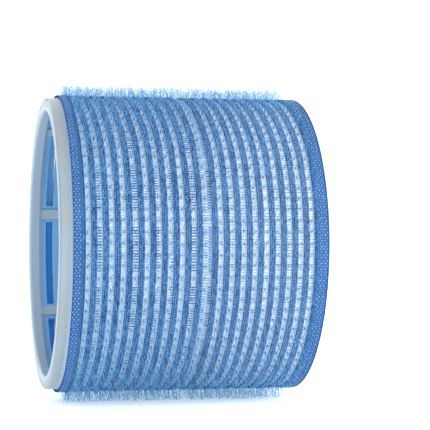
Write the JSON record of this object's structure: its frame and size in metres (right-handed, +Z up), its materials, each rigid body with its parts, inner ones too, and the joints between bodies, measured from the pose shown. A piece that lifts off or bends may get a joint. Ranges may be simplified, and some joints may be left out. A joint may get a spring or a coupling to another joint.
{
  "type": "hair roller",
  "caption": "Self-grip hair roller: a slotted plastic tube in a striped woven sleeve with rows of upright hooks around it.",
  "frame": {"origin": "on the roller's axis at mid-length", "axes": "+X along the roller's axis towards the end that the sleeve is flush with, +Z up, with the roller lying on its side"},
  "size_m": [0.0626, 0.078, 0.078],
  "materials": {
    "core_plastic": "translucent moulded plastic, satin",
    "weft_monofilament": "clear pale blue monofilament",
    "hook_monofilament": "clear pale blue monofilament",
    "woven_yarn": "knitted multifilament yarn"
  },
  "bodies": {
    "root": {"core_tube": "core_plastic", "weft_filaments": "weft_monofilament", "hook_row_01": "hook_monofilament", "hook_row_02": "hook_monofilament", "hook_row_03": "hook_monofilament", "hook_row_04": "hook_monofilament", "hook_row_05": "hook_monofilament", "hook_row_06": "hook_monofilament", "hook_row_07": "hook_monofilament", "hook_row_08": "hook_monofilament", "hook_row_09": "hook_monofilament", "hook_row_10": "hook_monofilament", "hook_row_11": "hook_monofilament", "hook_row_12": "hook_monofilament", "hook_row_13": "hook_monofilament", "hook_row_14": "hook_monofilament", "hook_row_15": "hook_monofilament", "hook_row_16": "hook_monofilament", "hook_row_17": "hook_monofilament", "hook_row_18": "hook_monofilament", "hook_row_19": "hook_monofilament", "hook_row_20": "hook_monofilament", "woven_band_01": "woven_yarn", "woven_band_02": "woven_yarn", "woven_band_03": "woven_yarn", "woven_band_04": "woven_yarn", "woven_band_05": "woven_yarn", "woven_band_06": "woven_yarn", "woven_band_07": "woven_yarn", "woven_band_08": "woven_yarn", "woven_band_09": "woven_yarn", "woven_band_10": "woven_yarn", "woven_band_11": "woven_yarn", "woven_band_12": "woven_yarn", "woven_band_13": "woven_yarn", "woven_band_14": "woven_yarn", "woven_band_15": "woven_yarn", "woven_band_16": "woven_yarn", "woven_band_17": "woven_yarn", "woven_band_18": "woven_yarn", "woven_band_19": "woven_yarn", "selvedge_left": "woven_yarn", "selvedge_right": "woven_yarn"}
  },
  "joints": []
}
